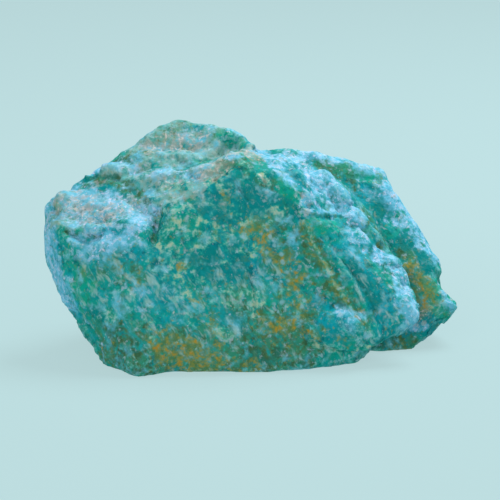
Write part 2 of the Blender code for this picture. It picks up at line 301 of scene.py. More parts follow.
@dataclass(frozen=True)
class Groove:
    """A crack or valley along a route: width and depth in millimetres."""

    route: tuple[Spot, ...]
    width: float
    depth: float

    def height(self, skin: Skin) -> Array:
        """How far the groove moves every point of the skin."""
        distance = skin.away(self.route)[0] * (1.0 + GROOVE_FRAY * skin.ragged)
        return -self.depth * np.clip(1.0 - distance / self.width, 0.0, 1.0)


@dataclass(frozen=True)
class Cliff:
    """A low broken edge along a route: the skin drops at its right and climbs back over its reach."""

    route: tuple[Spot, ...]
    drop: float
    rise: float
    reach: float

    def height(self, skin: Skin) -> Array:
        """Work out how far the cliff moves the skin.

        Args:
            skin: the skin before it is worked.

        Returns:
            Height at each point, in millimetres.
        """
        distance, rightward = skin.away(self.route)
        beyond = eased((rightward + CLIFF_FRAY * skin.ragged) / self.rise + 0.5)
        fade = np.clip(1.0 - distance / self.reach, 0.0, 1.0) ** 2
        return -self.drop * (beyond - CLIFF_LIP) * fade


@dataclass(frozen=True)
class Lump:
    """A rounded knob or, with a negative rise, a hollow, drawn out along its route."""

    route: tuple[Spot, ...]
    radius: float
    rise: float

    def height(self, skin: Skin) -> Array:
        """How far the lump moves every point of the skin."""
        distance = skin.away(self.route)[0] * (1.0 + LUMP_FRAY * skin.ragged)
        return self.rise * dome(distance / self.radius)


@dataclass(frozen=True)
class Crumb:
    """A patch of crumbly, sugar-like break: grains of one size standing up from the skin."""

    route: tuple[Spot, ...]
    radius: float
    grain: float
    rise: float

    def height(self, skin: Skin) -> Array:
        """Work out how far the grains move the skin.

        Args:
            skin: the skin before it is worked.

        Returns:
            Height at each point, in millimetres.
        """
        weight = dome(skin.away(self.route)[0] / self.radius)
        near = weight > 0.0
        heights = np.zeros(len(weight))
        heights[near] = cloud(skin.points[near], self.grain, (3.1, 8.7, 1.9))
        return heights * weight * self.rise


class Side(Enum):
    """Which side of its route a patch keeps to, as the picture shows it."""

    LEFT = -1
    BOTH = 0
    RIGHT = 1


@dataclass(frozen=True)
class Patch:
    """A soft place of a mask, round a spot or along a route, on both sides of it or on one.

    Its radius is in millimetres. A negative strength keeps the mask away, and fray is how far the line
    between its two sides wanders, in millimetres.
    """

    route: tuple[Spot, ...]
    radius: float
    strength: float
    side: Side = Side.BOTH
    fray: float = 1.5

    def weight(self, skin: Skin) -> Array:
        """Work out what the patch adds to its mask.

        Args:
            skin: the skin, read after the work.

        Returns:
            The mask's share of this patch at each point.
        """
        distance, rightward = skin.away(self.route)
        soft = eased(PATCH_END - distance * (1.0 + PATCH_FRAY * skin.ragged) / self.radius)
        if self.side is not Side.BOTH:
            soft = soft * eased(self.side.value * (rightward + self.fray * skin.ragged) + 0.5)
        return self.strength * soft


GROOVES = (
    # The notch between the shelf and the front, dark and deep, and the crack that runs on from it.
    Groove(((154, 240), (155, 232), (158, 226)), 0.9, 0.6),
    Groove(((118, 179), (130, 188), (145, 202), (158, 208)), 0.9, 0.5),
    Groove(((162, 216), (168, 206), (175, 200)), 0.6, 0.3),
    # Two short open cracks at the front of the shelf, and a small pit at its left end.
    Groove(((66, 231), (73, 234), (79, 238), (85, 241)), 0.5, 0.8),
    Groove(((89, 235), (94, 237), (101, 236)), 0.5, 0.8),
    Groove(((52, 206), (57, 214)), 0.9, 0.6),
    # The valley between the hump and the granular ledge.
    Groove(((182, 161), (204, 160), (221, 153), (236, 142)), 1.5, 0.9),
    # The fine dark line down the middle of the front.
    Groove(((249, 252), (250, 266), (251, 278), (254, 290), (255, 305), (256, 316)), 0.5, 0.5),
    # Short cracks and a wedge high on the front.
    Groove(((286, 205), (287, 217)), 0.45, 0.4),
    Groove(((236, 182), (241, 192), (248, 200)), 0.5, 0.4),
    Groove(((166, 246), (174, 234), (186, 222)), 0.6, 0.3),
    Groove(((216, 216), (228, 223)), 0.5, 0.25),
    # The joint across the far corner and the edge line down the left end.
    Groove(((349, 177), (368, 180), (384, 182)), 0.8, 0.2),
    Groove(((58, 236), (66, 270), (80, 305), (94, 334)), 0.7, 0.3),
    # Cleavage lines down the strip at the right of the front.
    Groove(((345, 262), (360, 282), (372, 302), (380, 322)), 0.7, 0.4),
    Groove(((330, 258), (345, 285), (357, 310)), 0.6, 0.3),
)

CLIFFS = (
    # The step beside the fine dark line down the middle of the front.
    Cliff(((249, 252), (250, 266), (251, 278), (256, 290), (256, 305)), 0.35, 0.5, 3.5),
    # The two small overhangs over the open cracks of the shelf.
    Cliff(((85, 241), (79, 238), (73, 234), (66, 231)), -0.3, 0.4, 1.2),
    Cliff(((101, 236), (94, 237), (89, 235)), -0.3, 0.4, 1.2),
    # Low curved steps on the front.
    Cliff(((168, 262), (180, 246), (200, 232), (214, 224)), 0.3, 0.4, 2.2),
    Cliff(((232, 250), (240, 262), (244, 276)), 0.3, 0.4, 2.0),
    Cliff(((176, 300), (196, 318), (212, 338)), 0.3, 0.5, 2.2),
    Cliff(((104, 262), (122, 284), (136, 312)), 0.35, 0.5, 2.2),
    Cliff(((128, 280), (146, 306), (160, 330)), 0.3, 0.5, 2.2),
    # The chip under the peak, and the bright broken edge above the smooth band.
    Cliff(((272, 192), (263, 184), (256, 172)), 0.5, 0.5, 2.4),
    Cliff(((300, 210), (305, 214), (318, 217), (333, 217), (345, 219), (353, 225)), 0.55, 0.5, 2.8),
    # The edge of the shell-shaped lobe low at the right.
    Cliff(((309, 333), (314, 341), (329, 347), (348, 350), (366, 348), (381, 340)), 1.3, 0.5, 3.2),
    # The strip beside the front, and the front's own broken upper left edge.
    Cliff(((381, 336), (372, 314), (360, 290), (345, 264), (320, 238)), 0.45, 0.7, 3.2),
    Cliff(((163, 217), (178, 203), (205, 190), (216, 178), (226, 165)), 0.6, 0.5, 2.6),
    Cliff(((301, 214), (305, 226), (318, 240)), 0.35, 0.6, 2.4),
    # Low steps along the foot.
    Cliff(((112, 345), (135, 352), (160, 345), (185, 344)), 0.35, 0.7, 3.0),
    Cliff(((200, 350), (235, 356), (270, 352), (300, 346)), 0.3, 0.7, 3.0),
)

LUMPS = (
    # Knobs down the pale face, drawn out along the ridge.
    Lump(((284, 163), (296, 174)), 2.0, 0.5),
    Lump(((303, 166), (314, 182)), 2.3, 0.45),
    Lump(((321, 175), (330, 188)), 2.1, 0.5),
    Lump(((336, 190), (345, 204)), 2.1, 0.45),
    Lump(((317, 192), (328, 206)), 1.8, 0.5),
    Lump(((349, 208), (360, 220)), 2.0, 0.4),
    Lump(((366, 226), (378, 240)), 2.0, 0.4),
    Lump(((390, 262), (402, 268)), 1.3, 0.5),
    Lump(((408, 302), (415, 316)), 1.5, 0.4),
    Lump(((312, 182), (318, 190)), 1.2, -0.4),
    Lump(((331, 197), (336, 206)), 1.2, -0.4),
    Lump(((345, 205), (352, 212)), 1.1, -0.35),
    Lump(((302, 196), (308, 206)), 1.1, -0.6),
    # The rusty pit beside the tongue.
    Lump(((378, 246), (380, 247)), 0.9, -0.7),
    # The lens in the chip and the knob above the second crack.
    Lump(((261, 179), (268, 185)), 1.1, 0.6),
    Lump(((90, 229), (99, 230)), 1.4, 0.6),
    Lump(((110, 228), (135, 226)), 2.2, 0.4),
    Lump(((70, 218), (78, 220)), 1.3, -0.4),
    # The fill of crumbs at the head of the notch.
    Lump(((156, 211), (156, 221)), 2.2, 0.9),
    # Knobs of the top.
    Lump(((192, 172), (212, 168)), 1.4, 0.4),
    Lump(((230, 134), (240, 138)), 2.6, 0.7),
    Lump(((246, 142), (256, 150)), 1.6, -0.5),
    Lump(((64, 196), (74, 191)), 2.4, 0.3),
    Lump(((92, 174), (98, 170)), 1.6, -0.5),
    Lump(((145, 143), (158, 132)), 2.4, 0.3),
    # Fullness and hollows along the outline: the far corner, the right end and its tip, and the left end.
    Lump(((352, 164), (380, 172)), 2.8, 0.5),
    Lump(((391, 178), (395, 190)), 1.8, -0.35),
    Lump(((350, 354), (382, 350)), 2.8, 0.9),
    Lump(((414, 344), (426, 338), (436, 329)), 3.2, -0.9),
    Lump(((438, 277), (444, 282)), 1.6, -0.5),
    Lump(((447, 289), (453, 294)), 2.4, -1.1),
    Lump(((440, 325), (451, 317)), 3.0, -1.2),
    Lump(((46, 206), (52, 200)), 2.0, 0.5),
    Lump(((46, 236), (50, 258)), 3.2, 0.8),
    Lump(((76, 318), (92, 339)), 3.8, -2.1),
    # Fullness of the granular ledge, the back of the shelf and the lobe, and the hollow above the lobe.
    Lump(((230, 152), (242, 160)), 1.6, 0.4),
    Lump(((96, 172), (120, 170)), 1.8, 0.4),
    Lump(((332, 322), (354, 328)), 3.6, 0.9),
    Lump(((314, 318), (322, 308), (340, 304)), 2.0, -0.6),
)

CRUMBS = (
    # The granular ledge and the front's upper left edge, then the shelf and the valley behind it.
    Crumb(((222, 168), (236, 158), (246, 152)), 4.2, 0.75, 0.34),
    Crumb(((165, 186), (200, 180), (226, 172)), 2.6, 0.80, 0.30),
    Crumb(((62, 205), (95, 215), (140, 218)), 5.0, 0.95, 0.26),
    Crumb(((95, 180), (135, 178), (180, 172)), 4.5, 0.90, 0.24),
    # The pale face, the front from its right to its left, the notch, the foot, the lobe and the tongue.
    Crumb(((290, 165), (312, 185), (345, 210), (362, 232)), 4.0, 0.90, 0.26),
    Crumb(((265, 262), (290, 275), (300, 305)), 6.0, 0.85, 0.20),
    Crumb(((110, 280), (150, 310), (200, 335)), 6.0, 0.90, 0.16),
    Crumb(((190, 235), (225, 250)), 5.0, 0.90, 0.10),
    Crumb(((70, 245), (100, 250)), 3.4, 0.85, 0.20),
    Crumb(((150, 355), (185, 352), (210, 358)), 3.4, 0.80, 0.18),
    Crumb(((340, 318), (350, 326)), 2.6, 0.80, 0.22),
    Crumb(((385, 262), (398, 285), (410, 305)), 2.8, 0.85, 0.18),
)

# The front's broken upper edge, its edge to the pale face, the edge over the smooth band, and the left end's.
UPPER_EDGE = ((163, 218), (178, 203), (205, 190), (222, 178), (237, 164))
PEAK_EDGE = ((240, 162), (262, 171), (280, 181), (296, 198), (303, 215))
BAND_EDGE = ((303, 215), (318, 217), (333, 217), (345, 219), (354, 226))
END_EDGE = ((52, 212), (58, 236), (66, 270), (80, 305), (94, 334))

# Where each mask lies. Those along an edge of the front come first, because the colours change there.
PATCHES = {
    # Pure, deep blue-green feldspar.
    Mask.DEEP: (
        Patch(UPPER_EDGE, 3.0, 0.35, Side.RIGHT, 4.0), Patch(((206, 206), (218, 200)), 2.8, 0.9),
        Patch(((232, 208), (254, 202), (270, 214)), 4.2, 1.0), Patch(((283, 208), (291, 214)), 2.2, 0.7),
        Patch(((205, 262), (232, 268)), 4.0, 0.7), Patch(((228, 314), (238, 322)), 3.0, 0.6),
        Patch(((96, 320), (100, 338)), 3.0, 0.7), Patch(((96, 262), (126, 298), (165, 330)), 5.0, 0.25),
        Patch(((186, 262), (200, 290), (240, 310)), 5.0, 0.25),
        Patch(((352, 266), (362, 284), (374, 303)), 1.7, 0.9), Patch(((410, 240), (426, 264)), 2.6, 0.9),
        Patch(((379, 190), (381, 215)), 2.2, 0.9), Patch(((402, 243), (406, 246)), 2.0, 0.8),
        Patch(((285, 352), (262, 356)), 3.0, 0.6), Patch(((218, 143), (228, 145)), 1.8, 0.7),
        Patch(((102, 172), (110, 176)), 1.8, 0.6),
    ),
    # Bluer feldspar.
    Mask.BLUE: (
        Patch(END_EDGE, 4.0, 0.8, Side.RIGHT), Patch(((50, 232), (58, 270), (72, 305)), 3.6, 1.2),
        Patch(((120, 240), (132, 256)), 4.0, 0.7), Patch(((146, 308), (168, 318)), 3.0, 0.6),
        Patch(((212, 203), (245, 210)), 4.0, 0.7), Patch(((318, 312), (334, 318)), 3.2, 1.0),
        Patch(((256, 258), (262, 278)), 2.4, 0.8), Patch(((388, 186), (408, 214), (424, 240)), 2.0, 0.9),
        Patch(((360, 192), (366, 200)), 2.4, 0.8), Patch(((286, 172), (300, 182)), 2.4, 0.7),
        Patch(((436, 292), (450, 309)), 2.4, 0.9), Patch(((149, 154), (152, 156)), 1.4, 0.6),
        Patch(((312, 224), (344, 233)), 2.6, 1.6),
        Patch(((332, 240), (350, 262), (372, 296), (384, 318)), 2.4, 0.8),
        Patch(((352, 258), (370, 284), (388, 312)), 2.4, 0.8),
    ),
    # Greener feldspar.
    Mask.GREEN: (
        Patch(((282, 187), (293, 205)), 2.4, 1.0), Patch(((312, 224), (336, 228)), 1.9, 0.8),
        Patch(((318, 236), (340, 262), (362, 296)), 2.0, 0.6),
        Patch(((346, 170), (366, 178), (385, 182)), 1.7, 1.1), Patch(((320, 163), (336, 166)), 1.7, 0.9),
        Patch(((404, 228), (416, 238)), 2.0, 0.8), Patch(((356, 290), (366, 302)), 1.6, 0.8),
        Patch(((432, 288), (450, 309)), 2.8, 1.3), Patch(((214, 140), (226, 146)), 2.0, 0.8),
        Patch(((262, 290), (276, 300)), 2.4, 0.7), Patch(((205, 300), (225, 330)), 4.0, 0.5),
        Patch(((78, 280), (92, 320), (100, 336)), 3.4, 0.9),
        Patch(((110, 282), (136, 306), (156, 330)), 5.0, 0.5), Patch(((224, 138), (238, 146)), 2.2, 1.0),
        Patch(((62, 226), (84, 232)), 2.5, -0.8), Patch(((150, 212), (158, 220)), 1.8, 0.8),
    ),
    # Chalky grey-green weathering over the top.
    Mask.CHALK: (
        Patch(UPPER_EDGE, 5.0, -0.9, Side.RIGHT, 4.0), Patch(UPPER_EDGE, 1.8, 0.8, Side.LEFT, 3.0),
        Patch(((148, 146), (165, 132), (192, 130), (222, 138)), 4.6, 0.9),
        Patch(((112, 172), (150, 176), (205, 168)), 3.2, 0.8),
        Patch(((138, 160), (172, 158), (206, 155)), 2.8, 0.7),
        Patch(((216, 168), (236, 158), (246, 152)), 3.4, 1.0), Patch(((226, 138), (240, 146)), 2.0, -0.8),
        Patch(((66, 204), (105, 210), (150, 214)), 4.0, 1.0), Patch(((166, 196), (190, 190)), 2.4, 0.7),
        Patch(((60, 221), (86, 226)), 2.2, 0.9), Patch(((150, 210), (160, 206)), 1.8, 0.6),
    ),
    # Olive and brown washes where iron has crept in, and painted shade along the foot and in the valley
    # behind the shelf.
    Mask.OLIVE_AND_SHADE: (
        Patch(((304, 234), (317, 256), (334, 286), (360, 320)), 2.0, 1.25),
        Patch(((268, 228), (278, 236)), 3.6, 0.7), Patch(((280, 275), (300, 318)), 4.6, 0.6),
        # Olive along the foot, darkened further as painted shade where little light reaches the base.
        Patch(((104, 344), (150, 357), (205, 360), (262, 360), (300, 350)), 3.9, 1.5),
        Patch(((160, 140), (185, 130), (210, 134)), 3.4, 0.5), Patch(((122, 162), (138, 158)), 2.0, 0.9),
        Patch(((92, 185), (112, 181)), 1.8, 0.7), Patch(((104, 214), (124, 224)), 1.6, 0.5),
        Patch(((72, 210), (100, 218)), 2.4, 0.6), Patch(((112, 262), (136, 276)), 3.4, 0.8),
        # The first patch here paints the shade of the valley between the hump and the shelf. The second patch
        # and the line below darken the notch and the shelf's two open cracks with olive.
        Patch(((120, 184), (140, 197), (157, 208)), 1.8, 0.9), Patch(((154, 240), (156, 228)), 1.0, 1.1),
        Patch(((66, 232), (85, 242)), 0.6, 1.2), Patch(((89, 236), (101, 237)), 0.6, 1.2),
        Patch(((318, 164), (336, 167), (352, 171)), 2.0, 1.0), Patch(((345, 182), (352, 188)), 2.4, 0.6),
        Patch(((366, 216), (378, 234)), 2.6, 0.8), Patch(((402, 254), (408, 262)), 2.2, 0.9),
        Patch(((411, 276), (424, 292), (430, 304)), 2.6, 0.5), Patch(((230, 158), (242, 162)), 2.4, 0.7),
        Patch(((385, 343), (408, 345)), 2.6, 0.9), Patch(((110, 326), (160, 336), (215, 336)), 3.4, 0.6),
        Patch(((225, 312), (260, 324), (292, 322)), 3.0, 0.45),
        Patch(((244, 300), (262, 330), (290, 336)), 4.0, 0.55),
        Patch(((257, 180), (262, 187), (270, 190), (274, 184)), 0.7, 1.4),
    ),
    # Pale feldspar lamellae.
    Mask.STREAK: (
        Patch(((96, 262), (120, 295), (150, 325)), 5.6, 0.7),
        Patch(((165, 290), (190, 315), (215, 335)), 5.0, 0.8),
        Patch(((352, 276), (372, 302), (386, 322)), 2.8, 0.6), Patch(((268, 276), (290, 300)), 4.0, 0.6),
        Patch(((225, 280), (245, 290)), 4.0, 0.5),
    ),
    # Cream blotches, cream lines along the low edges, and painted highlights along the front's ridge and at
    # the glint over the smooth band.
    Mask.CREAM_AND_HIGHLIGHT: (
        Patch(UPPER_EDGE, 2.6, 0.6, Side.RIGHT, 3.0), Patch(((196, 226), (228, 232), (240, 246)), 4.0, 0.7),
        Patch(((176, 218), (190, 215)), 2.6, 0.55), Patch(((262, 219), (272, 222)), 2.2, 0.8),
        Patch(((275, 209), (285, 213)), 1.4, 0.8), Patch(((221, 198), (228, 206)), 1.3, 1.1),
        Patch(((232, 217), (239, 224)), 1.5, 0.9), Patch(((256, 250), (266, 254)), 1.5, 0.8),
        Patch(((162, 256), (164, 264)), 1.1, 1.1), Patch(((168, 250), (182, 276)), 4.6, 0.8),
        Patch(((222, 290), (244, 300)), 3.4, 0.7), Patch(((278, 292), (298, 304)), 3.6, 0.4),
        Patch(((165, 187), (205, 181), (222, 173)), 1.8, 0.9), Patch(((261, 179), (268, 185)), 1.0, 2.5),
        Patch(((108, 314), (112, 318)), 1.6, 1.1), Patch(((120, 292), (136, 306)), 2.0, 0.6),
        Patch(((172, 276), (178, 288)), 1.6, 0.9), Patch(((150, 330), (162, 340)), 1.8, 0.6),
        Patch(((186, 317), (190, 322)), 1.3, 1.0), Patch(((220, 332), (226, 337)), 1.5, 0.9),
        Patch(((312, 341), (329, 348), (348, 351), (370, 344)), 0.9, 1.8),
        # Painted highlights: the second patch here is the glint at the head of the smooth band, and the line
        # below is the bright line along the front's ridge.
        Patch(((356, 322), (366, 330)), 1.8, 0.9), Patch(((302, 212), (306, 220)), 0.8, 1.2),
        Patch(((305, 222), (313, 244), (327, 268), (345, 300), (360, 324)), 0.7, 1.0),
        Patch(((255, 290), (256, 317)), 0.6, 1.8), Patch(((194, 139), (204, 141)), 1.6, 0.9),
        Patch(((424, 284), (436, 298), (440, 308)), 2.4, 0.8),
    ),
    # Pale blue weathering, with painted skylight over the surfaces that face the sky and painted highlights
    # along the lit rims, the tip, the left end and the upper side of the bright edges.
    Mask.BLOOM_AND_SKYLIGHT: (
        Patch(UPPER_EDGE, 6.0, -1.0, Side.RIGHT, 3.0), Patch(PEAK_EDGE, 5.0, -1.0, Side.RIGHT),
        Patch(PEAK_EDGE, 2.6, 0.8, Side.LEFT), Patch(BAND_EDGE, 3.0, -1.0, Side.RIGHT),
        # The first two patches here are painted highlights: the bright glint along the smooth band's edge,
        # and light on the left end.
        Patch(BAND_EDGE, 1.8, 0.8, Side.LEFT), Patch(END_EDGE, 3.0, 0.7, Side.RIGHT),
        Patch(END_EDGE, 2.4, -0.6, Side.LEFT), Patch(((60, 221), (86, 226)), 2.2, 0.5),
        Patch(((58, 194), (92, 206), (140, 216)), 4.6, 0.85),
        Patch(((104, 204), (130, 212), (148, 222)), 2.6, 0.5), Patch(((112, 240), (140, 236)), 3.4, 0.6),
        Patch(((70, 246), (96, 250)), 2.8, 0.6), Patch(((92, 172), (112, 164), (134, 170)), 2.0, 0.7),
        Patch(((158, 142), (205, 136)), 3.2, 0.35), Patch(((222, 164), (240, 156)), 2.6, 0.4),
        Patch(((160, 176), (200, 172)), 3.0, 0.6), Patch(((239, 134), (258, 151), (276, 166)), 1.7, 1.0),
        Patch(((286, 160), (306, 172), (328, 180)), 3.6, 1.0),
        Patch(((310, 190), (340, 198), (354, 216)), 3.2, 0.8), Patch(((352, 228), (360, 236)), 2.4, 1.2),
        Patch(((378, 256), (400, 272), (406, 296), (415, 316)), 2.6, 0.9),
        # Painted highlight: the next patch lights the right rim, and the last patch two lines below lights
        # the tip.
        Patch(((388, 184), (409, 216), (428, 248)), 3.3, 1.6),
        Patch(((292, 152), (335, 158), (378, 168)), 1.5, 0.9), Patch(((344, 314), (352, 326)), 2.2, 0.6),
        Patch(((417, 326), (426, 328)), 1.2, 1.0), Patch(((440, 288), (453, 303)), 1.2, 0.7),
        Patch(((390, 222), (402, 214)), 1.6, 0.6), Patch(((98, 262), (118, 290)), 3.0, 0.15),
        Patch(((286, 228), (298, 240), (292, 254)), 1.3, 0.6),
        # Painted light: the next patch brightens the left end.
        Patch(((46, 236), (54, 262), (66, 296)), 3.0, 1.2),
    ),
    # Sandy, pinkish-grey crumbs.
    Mask.SAND: (
        Patch(UPPER_EDGE, 4.0, -1.0, Side.RIGHT, 3.0), Patch(UPPER_EDGE, 1.2, 0.7, Side.LEFT, 3.0),
        Patch(PEAK_EDGE, 3.0, -0.6, Side.RIGHT), Patch(((261, 179), (268, 185)), 0.8, 2.2),
        Patch(((218, 168), (234, 160), (248, 156)), 3.4, 1.1),
        Patch(((168, 184), (204, 180), (224, 173)), 1.6, 0.8),
        Patch(((62, 200), (84, 208), (100, 222)), 3.2, 0.9), Patch(((112, 212), (136, 204)), 2.6, 0.8),
        Patch(((152, 150), (168, 140), (184, 148)), 2.6, 1.1), Patch(((196, 140), (204, 141)), 1.8, 0.9),
        Patch(((298, 196), (305, 206)), 1.6, 0.8), Patch(((306, 168), (312, 174)), 1.6, 0.7),
        Patch(((88, 188), (100, 185)), 1.8, 0.7), Patch(((420, 322), (424, 312)), 1.6, 0.7),
        Patch(((412, 270), (420, 286), (424, 306)), 2.0, 0.6), Patch(((176, 350), (204, 357)), 1.8, 0.45),
    ),
    # Rust and ochre.
    Mask.OCHRE: (
        Patch(((286, 262), (291, 280)), 2.4, 0.9), Patch(((262, 250), (268, 254)), 1.8, 0.7),
        Patch(((302, 226), (318, 256), (336, 288), (360, 320)), 1.2, 0.75),
        Patch(((296, 300), (300, 316)), 3.0, 0.6), Patch(((272, 332), (292, 340)), 2.2, 0.4),
        Patch(((309, 332), (316, 335)), 1.0, 1.2), Patch(((162, 354), (182, 350), (208, 359)), 2.5, 1.4),
        Patch(((170, 348), (188, 347)), 1.5, 0.7), Patch(((216, 337), (221, 341)), 1.3, 0.9),
        Patch(((204, 317), (214, 321)), 1.5, 0.7), Patch(((180, 266), (185, 268)), 1.0, 1.0),
        Patch(((136, 278), (138, 282)), 1.5, 0.5), Patch(((252, 236), (268, 236)), 2.6, 0.6),
        Patch(((223, 193), (225, 197)), 0.9, 1.0), Patch(((56, 198), (62, 197)), 1.3, 0.9),
        Patch(((80, 264), (84, 270)), 1.5, 0.5), Patch(((102, 348), (112, 352)), 2.2, 0.6),
        Patch(((411, 270), (420, 286), (427, 300)), 2.6, 1.0), Patch(((240, 155), (247, 160)), 1.3, 0.6),
        Patch(((378, 244), (380, 247)), 1.0, 1.1), Patch(((390, 344), (406, 346)), 1.6, 0.6),
        Patch(((178, 362), (215, 366), (250, 366)), 2.4, 0.7), Patch(((112, 262), (119, 268)), 1.2, 0.7),
        Patch(((238, 222), (262, 232)), 2.0, 0.6), Patch(((148, 340), (170, 334)), 1.6, 0.5),
        Patch(((196, 300), (204, 306)), 1.2, 0.6), Patch(((328, 330), (345, 342)), 1.4, 0.6),
        Patch(((262, 318), (282, 326)), 2.2, 0.6),
    ),
    # Pale sugary crystals.
    Mask.SUGAR: (
        Patch(((268, 258), (284, 282), (296, 300)), 5.0, 1.0), Patch(((270, 232), (294, 244)), 3.2, 1.0),
        Patch(((222, 246), (246, 252)), 2.4, 0.7), Patch(((220, 292), (240, 300)), 2.4, 0.8),
        Patch(((168, 282), (178, 300)), 2.6, 0.8), Patch(((286, 306), (300, 314)), 2.6, 0.8),
    ),
}

# Where the photograph sees nothing, each mask follows a broad cloud instead: its lump size in millimetres,
# the level it starts from and how strong it gets.
WILD = {
    Mask.DEEP: (8.0, 0.05, 1.6),
    Mask.BLUE: (11.0, 0.05, 1.6),
    Mask.GREEN: (7.0, 0.10, 1.8),
    Mask.CHALK: (9.0, 0.12, 1.6),
    Mask.OLIVE_AND_SHADE: (9.0, 0.10, 1.8),
    Mask.STREAK: (10.0, -0.10, 1.4),
    Mask.CREAM_AND_HIGHLIGHT: (7.0, 0.05, 1.6),
    Mask.BLOOM_AND_SKYLIGHT: (8.0, 0.12, 1.8),
    Mask.SAND: (6.0, 0.20, 1.8),
    Mask.OCHRE: (9.0, 0.18, 2.2),
    Mask.SUGAR: (7.0, 0.10, 1.6),
}


@dataclass
class RawStone:
    """The stone itself: the solid's shape, broken again at a finer scale, and the masks for its finish.

    Sizes are millimetres. A band is where something begins and the width it grows over.

    Attributes:
        view: the camera that finds the spots of the picture.
        face: width of a face, fine enough for forms of a millimetre and within a piece's limit.
        wear, wear_pull: rounds of smoothing after the remesh, and how far each pulls a point.
        ragged: sizes of the ragged noise's two clouds, and the second one's strength.
        calm, front, front_band: how rough the flat front is, the way it faces, and its band.
        smooth_rim, rim_band: how rough the outline seen is, and its band of turning sideways.
        hidden_band: how hidden a face sideways to the camera is, and how fast that grows.
        breaks, broad: size and lean of the break's flats, and of those on the hidden sides.
        waves: height and size of the broad waves over the break, then of the narrow ones.
        swell, swell_fade: how far the skin stands out, and how near the solid's box that ends.
        seat: height over the resting face in which the work fades out.
        levelling, bend: rounds that level the skin to find its bends, and a full bend's height.
        sky_band, painted_skylight: the band of facing up, and the pale blue painted skylight that grows over
            it.
        wild, wild_step: strength of the clouds on the sides seen, and how far apart they start.
    """

    view: Viewpoint
    face: float = 0.345
    wear: int = 3
    wear_pull: float = 0.5
    ragged: tuple[float, float, float] = (2.4, 0.9, 0.6)
    calm: float = 0.30
    front: tuple[float, float, float] = (0.12, -0.91, 0.39)
    front_band: tuple[float, float] = (0.72, 0.2)
    smooth_rim: float = 0.35
    rim_band: tuple[float, float] = (0.5, 0.4)
    hidden_band: tuple[float, float] = (0.6, 2.0)
    breaks: tuple[tuple[float, float], ...] = ((2.6, 0.22), (1.3, 0.20))
    broad: tuple[float, float] = (6.5, 0.20)
    waves: tuple[float, float, float, float] = (0.10, 1.5, 0.07, 0.8)
    swell: float = 0.28
    swell_fade: float = 2.0
    seat: float = 0.5
    levelling: int = 10
    bend: float = 0.16
    sky_band: tuple[float, float] = (0.35, 0.6)
    painted_skylight: float = 0.25
    wild: float = 0.25
    wild_step: float = 3.3

    def copied(self) -> bpy.types.Object:
        """Copy the solid's mesh, close its loose triangles and remesh it in even fine faces.

        Returns:
            The new object, with its place in its mesh.
        """
        shape = bmesh.new()
        shape.from_mesh(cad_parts[STONE].data)
        bmesh.ops.remove_doubles(shape, verts=shape.verts[:], dist=WELD * MM)
        mesh = bpy.data.meshes.new("raw_amazonite")
        shape.to_mesh(mesh)
        shape.free()
        stone = bpy.data.objects.new("raw_amazonite", mesh)
        bpy.context.scene.collection.objects.link(stone)
        remesh = stone.modifiers.new("remesh", "REMESH")
        remesh.mode = "VOXEL"
        remesh.voxel_size = self.face * MM
        smooth = stone.modifiers.new("smooth", "SMOOTH")
        smooth.factor = self.wear_pull
        smooth.iterations = self.wear
        graph = bpy.context.evaluated_depsgraph_get()
        refined = bpy.data.meshes.new_from_object(stone.evaluated_get(graph))
        stone.modifiers.clear()
        stone.data = refined
        return stone

    def solid(self) -> BVHTree:
        """Take the unworked solid, in millimetres.

        Returns:
            The solid, ready to be looked at along a line of sight.
        """
        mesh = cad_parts[STONE].data
        corners = [vertex.co / MM for vertex in mesh.vertices]
        return BVHTree.FromPolygons(corners, [tuple(face.vertices) for face in mesh.polygons])

    def skin(self, mesh: bpy.types.Mesh, solid: BVHTree) -> Skin:
        """Read a mesh as a skin to work.

        Args:
            mesh: the refined mesh, in metres.
            solid: the unworked solid.

        Returns:
            The skin, in millimetres.
        """
        points = np.empty(len(mesh.vertices) * 3)
        facing = np.empty(len(mesh.vertices) * 3)
        mesh.vertices.foreach_get("co", points)
        mesh.vertex_normals.foreach_get("vector", facing)
        skin = Skin(points.reshape(-1, 3) / MM, facing.reshape(-1, 3), solid, self.view)
        coarse, fine, share = self.ragged
        skin.ragged = cloud(skin.points, coarse, (5.0, 1.0, 9.0))
        skin.ragged = skin.ragged + share * cloud(skin.points, fine, (2.0, 6.0, 4.0))
        return skin

    def roughness(self, skin: Skin) -> Array:
        """Work out how rough the break is: calm on the flat front and along the outline, full elsewhere.

        Args:
            skin: the skin before it is worked.

        Returns:
            The roughness at every point, up to one.
        """
        front = skin.facing @ (np.array(self.front) / np.linalg.norm(self.front))
        sideways = 1.0 - np.abs(skin.facing @ np.array(self.view.back()))
        calmed = eased((front - self.front_band[0]) / self.front_band[1])
        turned = eased((sideways - self.rim_band[0]) / self.rim_band[1])
        rim = 1.0 - (1.0 - self.smooth_rim) * turned
        return rim * (1.0 - (1.0 - self.calm) * calmed)

    def hidden(self, skin: Skin) -> Array:
        """Where the photograph sees nothing: one on the faces turned away from its camera."""
        start, growth = self.hidden_band
        return eased(start - growth * (skin.facing @ np.array(self.view.back())))

    def relief(self, skin: Skin) -> Array:
        """Height of all the strokes and of the general break, at every point.

        Args:
            skin: the skin before it is worked.

        Returns:
            Height along the way each point faces, in millimetres.
        """
        heights = sum(stroke.height(skin) for stroke in GROOVES + CLIFFS + LUMPS + CRUMBS)
        points = skin.points
        breaks = sum(flats(points, size, lean) for size, lean in self.breaks)
        high, wide, low, narrow = self.waves
        waves = high * cloud(points, wide, (7.0, 2.0, 3.0)) + low * cloud(points, narrow, (1.0, 9.0, 5.0))
        broad = flats(points, *self.broad) * self.hidden(skin)
        return heights + broad + (breaks + waves) * self.roughness(skin)

